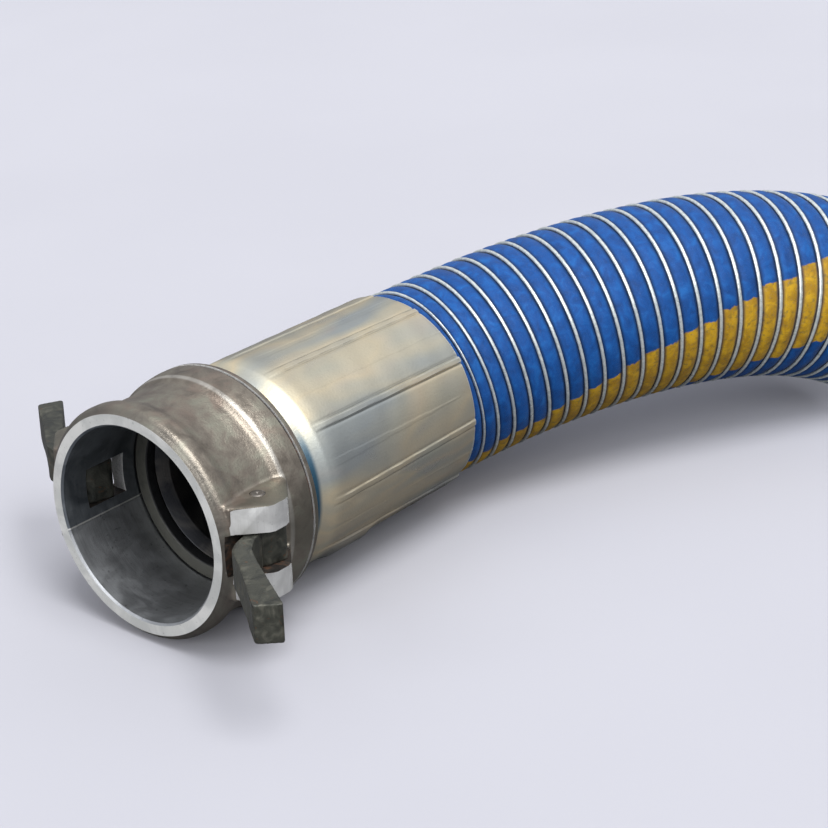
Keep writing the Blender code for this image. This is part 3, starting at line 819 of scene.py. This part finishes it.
def make_pin(name, material):
    """A turned pin with chamfered ends and a centre dimple in each."""
    low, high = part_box(name)
    half = (high.z - low.z) / 2.0
    outline = rounded(
        [
            (-half + 1.2 * MM, 0.05 * MM), (-half, 1.3 * MM), (-half, PIN_RADIUS - 0.7 * MM),
            (-half + 0.7 * MM, PIN_RADIUS), (half - 0.7 * MM, PIN_RADIUS),
            (half, PIN_RADIUS - 0.7 * MM), (half, 1.3 * MM), (half - 1.2 * MM, 0.05 * MM),
        ],
        0.3 * MM, 3, closed=False,
    )
    outline = np.array(outline)
    turn = np.linspace(0.0, 2.0 * math.pi, 56, endpoint=False)
    x = (low.x + high.x) / 2.0 + outline[:, 1:] * np.cos(turn)
    y = (low.y + high.y) / 2.0 + outline[:, 1:] * np.sin(turn)
    z = (low.z + high.z) / 2.0 + np.repeat(outline[:, :1], len(turn), axis=1)
    mesh = grid_mesh(name, np.stack((x, y, z), axis=-1), closed=False)
    pin = add_object(name.replace("pivot_pin", "hinge_pin"), mesh)
    pin.data.materials.append(material)
    ride(pin, "coupling", name, name)


def joint_opening(name):
    """How far open an arm stands at rest: its closed limit, turned around."""
    for joint in frame["joints"]:
        if joint["child"] == name:
            return -math.radians(joint["range_deg"][0])
    return 0.0


def handle_outline():
    """The bent handle from inside the hub to its slanted tip, with a waist."""
    return [
        (3.0 * MM, -1.0 * MM), (13.0 * MM, 1.6 * MM), (21.0 * MM, 6.6 * MM),
        (32.0 * MM, HANDLE_INNER_FACE), (48.0 * MM, HANDLE_INNER_FACE - 0.4 * MM),
        (HANDLE_LENGTH, HANDLE_INNER_FACE - 4.8 * MM),
        (HANDLE_LENGTH - 3.0 * MM, HANDLE_OUTER_FACE), (84.0 * MM, HANDLE_OUTER_FACE - 0.2 * MM),
        (62.0 * MM, HANDLE_OUTER_FACE - 1.1 * MM), (44.0 * MM, HANDLE_OUTER_FACE - 0.9 * MM),
        (30.0 * MM, HANDLE_OUTER_FACE - 0.4 * MM), (22.0 * MM, 17.6 * MM),
        (8.0 * MM, 6.4 * MM), (3.0 * MM, 3.0 * MM),
    ]


def make_arm(name, body, side, opening, materials):
    """A forged cam arm: round hub, pressing nose and a bent flat handle."""
    lean = math.degrees(math.asin((HUB_RADIUS - NOSE_RADIUS) / NOSE_OFFSET))
    cam = []
    for t in np.radians(np.linspace(-180.0 + lean, -lean, 12)):
        cam.append((NOSE_RADIUS * math.cos(t), NOSE_RADIUS * math.sin(t) - NOSE_OFFSET))
    for t in np.radians(np.linspace(-lean, 180.0 + lean, 40)):
        cam.append((HUB_RADIUS * math.cos(t), HUB_RADIUS * math.sin(t)))
    handle = rounded(handle_outline(), 2.5 * MM, 4)
    pin_x, pin_y = pivot_place(side)
    parts = []
    for outline, half in ((cam, HUB_HALF_WIDTH), (handle, HANDLE_HALF_WIDTH)):
        placed = [(x, side * y) for x, y in outline]
        parts.append(plate("arm_part", placed, -half, half))
    arm = add_object(name.replace("cam_arm", "cast_arm"), joined(name, parts))
    melt_together(arm, ARM_VOXEL, 5)
    arm.data.materials.clear()
    arm.data.materials.append(materials["arm"])
    hole = circle(0.0, 0.0, PIN_RADIUS + 0.2 * MM)
    cut(arm, [(plate("arm_hole", hole, -20 * MM, 20 * MM), materials["slot"])])
    pivot = MOUTH + Vector((pin_x, pin_y, 0.0))
    turn = Matrix.Rotation(side * opening, 4, "Z")
    arm.data.transform(Matrix.Translation(pivot) @ turn @ Matrix.Translation(-MOUTH))
    ride(arm, body, name, name)


def make_gasket(material):
    """The rubber ring at the bottom of the cup, with softened corners."""
    outer = GROOVE_RADIUS - 0.3 * MM
    outline = [
        (GASKET_FRONT, GASKET_INNER_RADIUS + 0.8 * MM), (GASKET_FRONT, outer - 2.4 * MM),
        (GASKET_FRONT + 2.4 * MM, outer), (GASKET_BACK, outer), (GASKET_BACK, GASKET_INNER_RADIUS),
        (GASKET_FRONT + 0.8 * MM, GASKET_INNER_RADIUS),
    ]
    gasket = add_object("sealing_ring", turned("sealing_ring", rounded(outline, 0.5 * MM), 220))
    gasket.data.materials.append(material)
    ride(gasket, "coupling", "cup_gasket", "cup_gasket")


def make_tail(material):
    """The hose tail: flared inlet, locking groove and serrated shank."""
    front = TAIL_FRONT
    outline = [
        (front + 7.0 * MM, TAIL_BORE_RADIUS), (front, GASKET_INNER_RADIUS),
        (front, SPIGOT_RADIUS - 0.3 * MM), (80.0 * MM, SPIGOT_RADIUS - 0.3 * MM),
        (80.0 * MM, 46.2 * MM), (88.0 * MM, 46.2 * MM), (89.0 * MM, TAIL_RADIUS),
    ]
    serrations = 6
    first = 96.0 * MM
    pitch = (TAIL_END - 6.0 * MM - first) / serrations
    for ring in range(serrations):
        start = first + ring * pitch
        outline.append((start, TAIL_RADIUS))
        outline.append((start, TAIL_RADIUS - 0.9 * MM))
        outline.append((start + 6.0 * MM, TAIL_RADIUS))
    outline.append((TAIL_END - 2.0 * MM, TAIL_RADIUS))
    outline.append((TAIL_END, TAIL_RADIUS - 1.2 * MM))
    outline.append((TAIL_END, TAIL_BORE_RADIUS))
    tail = add_object("serrated_tail", turned("serrated_tail", rounded(outline, 0.4 * MM, 3), 180))
    tail.data.materials.append(material)
    ride(tail, "coupling", "hose_tail", "hose_tail")


# ---------------------------------------------------------------- ferrule

def smooth_step(value, low, high):
    share = np.clip((value - low) / (high - low), 0.0, 1.0)
    return share * share * (3.0 - 2.0 * share)


def crimp_relief(x, turn):
    """How far the sleeve stands proud: lines between dies, dents, a swell."""
    relief = np.zeros_like(x)
    share = (x - FERRULE_START) / (FERRULE_END - FERRULE_START)
    spacing = 2.0 * math.pi / CRIMP_DIES
    on_sleeve = smooth_step(x, 98.0 * MM, 108.0 * MM)
    for die in range(CRIMP_DIES):
        lean = CRIMP_SHIFTS[die] + CRIMP_TWISTS[die] * (share - 0.5)
        line = CRIMP_FIRST + die * spacing + np.radians(lean)
        off = (turn - line + math.pi) % (2.0 * math.pi) - math.pi
        reach = np.abs(off)
        ridge = 1.0 - smooth_step(reach, math.radians(1.2), math.radians(1.9))
        relief += CRIMP_HEIGHTS[die] * MM * ridge
        groove = np.exp(-((reach - math.radians(2.5)) / math.radians(0.7)) ** 2)
        relief -= 0.35 * MM * groove
        flat = (off / (spacing / 2.0)) ** 2
        relief += np.where(reach < spacing / 2.0, -0.25 * MM * flat + 0.1 * MM, 0.0)
    low_side = (turn - SWELL_ANGLE + math.pi) % (2.0 * math.pi) - math.pi
    swell = np.exp(-(low_side / SWELL_REACH) ** 4)
    uncrimped = smooth_step(x, 106.0 * MM, 122.0 * MM) - smooth_step(x, 143.0 * MM, 150.0 * MM)
    swell = swell * uncrimped
    dent_turn = (turn - DENT_ANGLE) / math.radians(4.0)
    dent_along = (x - DENT_AT) / (6.0 * MM)
    dent = np.exp(-(dent_turn ** 2 + dent_along ** 2))
    waves = 0.12 * MM * np.sin(5.0 * turn + 40.0 * share) * np.sin(9.0 * share)
    return on_sleeve * (relief + SWELL_HEIGHT * swell - DENT_DEPTH * dent + waves)


def make_ferrule(material):
    """The crimped sleeve with its locking lip and sloping shoulder."""
    inner = FERRULE_RADIUS - FERRULE_WALL
    along = np.linspace(110.0 * MM, FERRULE_END - 1.6 * MM, 64)
    front = [
        (FERRULE_START, 49.0 * MM), (FERRULE_START, 58.6 * MM),
        (FERRULE_START + 1.8 * MM, 60.6 * MM), (92.0 * MM, 64.9 * MM), (95.0 * MM, 66.4 * MM),
        (104.0 * MM, FERRULE_RADIUS),
    ]
    front = rounded(front, 2.0 * MM, 5, closed=False)
    sleeve = [(x, FERRULE_RADIUS) for x in along]
    back = [
        (FERRULE_END - 0.4 * MM, FERRULE_RADIUS - 0.2 * MM), (FERRULE_END, FERRULE_RADIUS - 0.9 * MM),
        (FERRULE_END, inner), (106.0 * MM, inner), (FERRULE_START + 6.0 * MM, 57.4 * MM),
        (FERRULE_START + 6.0 * MM, 49.0 * MM),
    ]
    outline = np.array(front + sleeve + back)
    around = 800
    turn = np.linspace(0.0, 2.0 * math.pi, around, endpoint=False)
    x = np.repeat(outline[:, :1], around, axis=1)
    radius = np.repeat(outline[:, 1:], around, axis=1)
    outside = (outline[:, 1:] > inner + 0.5 * MM).astype(float)
    radius = radius + outside * crimp_relief(x, turn[None, :])
    grid = np.stack((x, radius * np.cos(turn), radius * np.sin(turn)), axis=-1) + np.array(MOUTH)
    ferrule = add_object("crimped_sleeve", grid_mesh("crimped_sleeve", grid))
    ferrule.data.materials.append(material)
    ride(ferrule, "coupling", "ferrule", "ferrule")


# ---------------------------------------------------------------- hose

class HosePath:
    """Frames along the hose: straight inside the ferrule, then the bend."""

    def __init__(self, steps=800):
        points = np.array(interpolate_bezier(*HOSE_BEND, steps))
        lengths = np.linalg.norm(np.diff(points, axis=0), axis=1)
        tangent = np.gradient(points, axis=0)
        tangent /= np.linalg.norm(tangent, axis=1)[:, None]
        side = np.array((0.0, 1.0, 0.0))
        sides = []
        for direction in tangent:
            side = side - direction * side.dot(direction)
            side = side / np.linalg.norm(side)
            sides.append(side)
        self.points = points
        self.distance = np.concatenate(((0.0,), np.cumsum(lengths)))
        self.sides = np.array(sides)
        self.rises = np.cross(tangent, self.sides)

    def blend(self, table, wanted):
        """Values of a table at distances along the bend."""
        columns = [np.interp(wanted, self.distance, table[:, k]) for k in range(3)]
        return np.stack(columns, axis=-1)

    def place(self, station, radius, turn):
        """Points at stations along the hose, by radius and angle."""
        wanted = np.maximum(station - STRAIGHT_END, 0.0)
        centre = self.blend(self.points, wanted)
        centre[..., 0] += np.minimum(station - STRAIGHT_END, 0.0)
        side = self.blend(self.sides, wanted)
        rise = self.blend(self.rises, wanted)
        across = side * np.cos(turn)[..., None] + rise * np.sin(turn)[..., None]
        return centre + across * radius[..., None] + np.array(MOUTH)


def hose_layer(name, node, path, outer, inner, material, step=2.0 * MM, around=144):
    """A closed layer of the hose wall; outer and inner give its radii."""
    count = round((HOSE_END - HOSE_START) / step)
    stations = np.linspace(HOSE_START, HOSE_END, count + 1)
    turn = np.linspace(0.0, 2.0 * math.pi, around, endpoint=False)
    outside, turns = np.meshgrid(stations, turn, indexing="ij")
    inside = outside[::-1]
    grid = np.concatenate((
        path.place(outside, outer(outside, turns), turns),
        path.place(inside, inner(inside, turns), turns),
    ))
    rows = np.concatenate((stations, stations[::-1]))
    uv = np.stack(np.meshgrid(rows, np.linspace(0.0, 1.0, around + 1), indexing="ij"), axis=-1)
    layer = add_object(name, grid_mesh(name, grid, uv=uv[..., ::-1]))
    layer.data.materials.append(material)
    ride(layer, "coupling", node, node)


def between_wires(station, turn, start):
    """0 on a wire and 1 half way to the next one."""
    share = (station - start) / WIRE_PITCH - turn / (2.0 * math.pi)
    return np.abs(np.sin(math.pi * share))


def cover_radius(station, turn):
    """The cover swells between the wires and is drawn in at the cut end."""
    swell = between_wires(station, turn, OUTER_WIRE_START) ** 0.9
    ripple = 0.10 * MM * np.sin(23.0 * turn + 310.0 * station) * swell
    ripple += 0.12 * MM * np.sin(7.0 * turn - 95.0 * station)
    free = smooth_step(station, OUTER_WIRE_START - WIRE_PITCH, OUTER_WIRE_START + WIRE_PITCH)
    return COVER_VALLEY + free * (COVER_BULGE * swell + ripple)


def lining_radius(station, turn):
    """The lining sags inwards between the turns of the inner wire."""
    return LINING_INSIDE - LINING_SAG * between_wires(station, turn, INNER_WIRE_START) ** 0.8


def steady(radius):
    return lambda station, turn: np.full_like(station, radius)


def hose_wire(name, node, path, radius, start, material):
    """A round wire wound along the hose."""
    steps = 48
    section = 12
    count = round((HOSE_END - WIRE_MARGIN - start) / WIRE_PITCH * steps)
    turn = 2.0 * math.pi * np.arange(count + 1) / steps
    station = start + WIRE_PITCH * np.arange(count + 1) / steps
    around = np.linspace(0.0, 2.0 * math.pi, section, endpoint=False)
    half = WIRE_THICKNESS / 2.0
    reach = radius + half * np.cos(around)[None, :] + 0.0 * station[:, None]
    along = station[:, None] + half * np.sin(around)[None, :]
    turns = np.repeat(turn[:, None], section, axis=1)
    wire = add_object(name, grid_mesh(name, path.place(along, reach, turns), closed=False))
    wire.data.materials.append(material)
    ride(wire, "coupling", node, node)


def make_hose():
    """The composite hose, from the blue cover in to the inner wire."""
    path = HosePath()
    cover = coated_weave()
    hose_layer(
        "blue_cover", "hose_cover", path, cover_radius, steady(COVER_INSIDE), cover,
        step=1.0 * MM, around=220,
    )
    carcass = hose_cloth("carcass_weave", (0.62, 0.62, 0.56), (0.40, 0.40, 0.36), 1.6 * MM, 0.85)
    hose_layer(
        "carcass", "carcass_fabric", path, steady(CARCASS_OUTSIDE), steady(CARCASS_INSIDE), carcass,
    )
    film = hose_cloth("film_sheet", (0.72, 0.75, 0.74), (0.60, 0.63, 0.62), 5.0 * MM, 0.3)
    hose_layer("film", "film_barrier", path, steady(FILM_OUTSIDE), steady(FILM_INSIDE), film)
    lining = hose_cloth("lining_weave", (0.78, 0.78, 0.73), (0.58, 0.58, 0.53), 1.3 * MM, 0.8)
    hose_layer("lining", "lining_fabric", path, steady(LINING_OUTSIDE), lining_radius, lining)
    wire = galvanised_wire()
    hose_wire("outer_winding", "outer_wire", path, OUTER_WIRE_RADIUS, OUTER_WIRE_START, wire)
    hose_wire("inner_winding", "inner_wire", path, INNER_WIRE_RADIUS, INNER_WIRE_START, wire)


def dress_node(node, material):
    """Give a CAD piece that stays a finished material."""
    slots = frame["nodes"][node].material_slots
    for slot in slots:
        slot.material = material


# ---------------------------------------------------------------- studio

def make_floor():
    """A wide pale floor at the lowest point; it throws little light back up."""
    m = Finish("studio_floor")
    cloud = m.noise(0.4, 3.0)
    pale = m.mix(m.between(cloud, 0.3, 0.7), FLOOR_LOW, FLOOR_HIGH)
    seen = m.nodes.new("ShaderNodeLightPath").outputs["Is Camera Ray"]
    colour = m.mix(seen, FLOOR_BOUNCE, pale)
    grain = m.noise(2.0 * MM, 2.0)
    m.bump((grain, 0.02 * MM))
    material = m.finish(colour, m.between(cloud, 0.3, 0.7, 0.9, 0.98))
    size = FLOOR_HALF_SIZE
    mesh = bpy.data.meshes.new("studio_floor")
    corners = [(-size, -size), (size, -size), (size, size), (-size, size)]
    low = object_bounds()[0][2]
    mesh.from_pydata([(x, y, low) for x, y in corners], [], [(0, 1, 2, 3)])
    mesh.materials.append(material)
    add_object("studio_floor", mesh, smooth=False)


def add_sun(name, towards, strength, spread):
    """A distant lamp with a wide disc; towards points at the lamp."""
    lamp = bpy.data.lights.new(name, "SUN")
    lamp.energy = strength
    lamp.angle = math.radians(spread)
    item = bpy.data.objects.new(name, lamp)
    item.rotation_euler = Vector(towards).to_track_quat("Z", "Y").to_euler()
    bpy.context.scene.collection.objects.link(item)


def make_studio():
    """Even soft light from above and from the front, and a pale surround."""
    for name, towards, strength, spread in STUDIO_LAMPS:
        add_sun(name, towards, strength, spread)
    world = bpy.data.worlds.new("surround")
    world.use_nodes = True
    nodes = world.node_tree.nodes
    links = world.node_tree.links
    place = nodes.new("ShaderNodeTexCoord")
    split = nodes.new("ShaderNodeSeparateXYZ")
    sky = nodes.new("ShaderNodeValToRGB")
    links.new(place.outputs["Generated"], split.inputs[0])
    links.new(split.outputs["Z"], sky.inputs[0])
    sky.color_ramp.elements[0].position = 0.0
    sky.color_ramp.elements[0].color = (*SKY_LOW, 1.0)
    sky.color_ramp.elements[1].position = 0.75
    sky.color_ramp.elements[1].color = (*SKY_HIGH, 1.0)
    backdrop = nodes.new("ShaderNodeMix")
    backdrop.data_type = "RGBA"
    links.new(nodes.new("ShaderNodeLightPath").outputs["Is Camera Ray"], backdrop.inputs[0])
    links.new(sky.outputs["Color"], backdrop.inputs[6])
    backdrop.inputs[7].default_value = (*BACKDROP, 1.0)
    back = nodes["Background"]
    links.new(backdrop.outputs[2], back.inputs["Color"])
    back.inputs["Strength"].default_value = SKY_STRENGTH
    bpy.context.scene.world = world
    bpy.context.scene.view_settings.view_transform = "Standard"


def make_camera():
    """The camera, level with the chosen up direction."""
    lens = bpy.data.cameras.new("camera")
    lens.lens = CAMERA_LENS
    lens.sensor_width = 36.0
    camera = bpy.data.objects.new("camera", lens)
    back = -CAMERA_FORWARD.normalized()
    right = CAMERA_UP.cross(back).normalized()
    up = back.cross(right)
    camera.matrix_world = Matrix.Translation(MOUTH + CAMERA_FROM_MOUTH) @ Matrix((
        (right.x, up.x, back.x, 0.0),
        (right.y, up.y, back.y, 0.0),
        (right.z, up.z, back.z, 0.0),
        (0.0, 0.0, 0.0, 1.0),
    ))
    bpy.context.scene.collection.objects.link(camera)
    bpy.context.scene.camera = camera


def main():
    materials = {
        "cast": cast_steel(),
        "bore": bore_steel(),
        "face": machined_steel("face_steel", (0.66, 0.67, 0.65), (0.86, 0.86, 0.83), 0.30, 0.4),
        "ear": machined_steel("ear_steel", (0.52, 0.52, 0.51), (0.70, 0.70, 0.69), 0.36, 0.4),
        "slot": rust_and_painted_shade(),
        "arm": arm_steel(),
        # painted shade: the tail is painted near black, standing in for the shade deep in the cup
        "tail": machined_steel("tail_steel", (0.035, 0.036, 0.04), (0.09, 0.085, 0.08), 0.42),
        "pin": machined_steel("pin_steel", (0.10, 0.09, 0.08), (0.22, 0.20, 0.18), 0.40),
    }
    body = make_coupler_body(materials)
    ride(body, "coupling", "coupler_body", "coupler_body")
    make_gasket(gasket_rubber())
    make_pin("pivot_pin_left", materials["pin"])
    make_pin("pivot_pin_right", materials["pin"])
    make_arm("cam_arm_left", "left_arm", 1.0, joint_opening("left_arm"), materials)
    make_arm("cam_arm_right", "right_arm", -1.0, joint_opening("right_arm"), materials)
    make_tail(materials["tail"])
    make_ferrule(plated_steel())
    make_hose()
    dress_node("seal_sleeve", pale_plastic())
    make_floor()
    make_studio()
    make_camera()


main()
